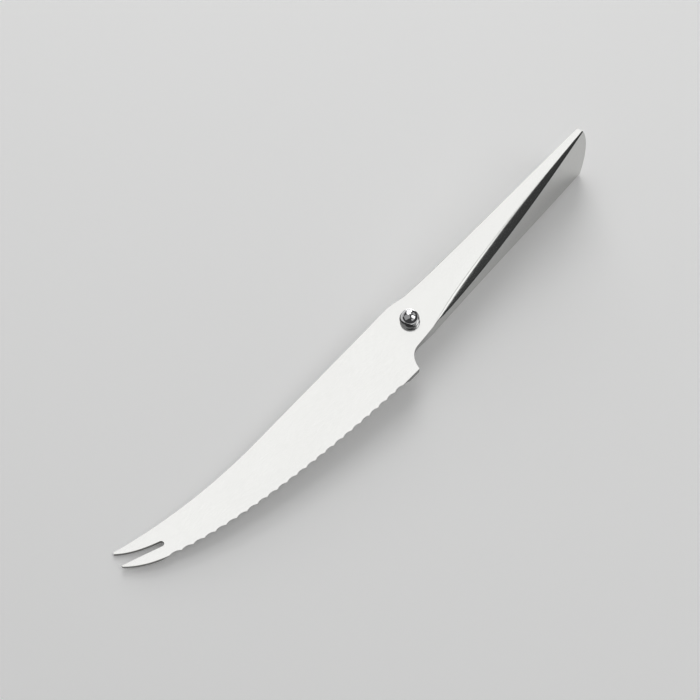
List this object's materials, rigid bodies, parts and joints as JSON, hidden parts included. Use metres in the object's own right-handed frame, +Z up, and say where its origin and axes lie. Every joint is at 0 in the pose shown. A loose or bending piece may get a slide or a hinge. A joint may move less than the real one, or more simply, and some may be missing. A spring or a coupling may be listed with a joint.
{
  "type": "tomato knife",
  "caption": "All-steel tomato knife with a forked tip, a scalloped edge, a twisted hollow handle and a round grip ball on each side of the neck.",
  "frame": {"origin": "bottom centre of the bounding box of the knife as it rests on a table, on its right side", "axes": "+X along the knife, from the tip to the butt; +Y from the cutting edge to the spine; +Z up, out of the table and out of the knife's left side"},
  "size_m": [0.213, 0.0302, 0.0214],
  "materials": {
    "blade_steel": "satin stainless steel, ground along the blade",
    "handle_steel": "satin stainless steel with soft edges",
    "ball_steel": "mirror-polished stainless steel"
  },
  "bodies": {
    "root": {"blade": "blade_steel", "handle_shell_left": "handle_steel", "handle_shell_right": "handle_steel", "grip_ball_left": "ball_steel", "grip_ball_right": "ball_steel"}
  },
  "joints": []
}
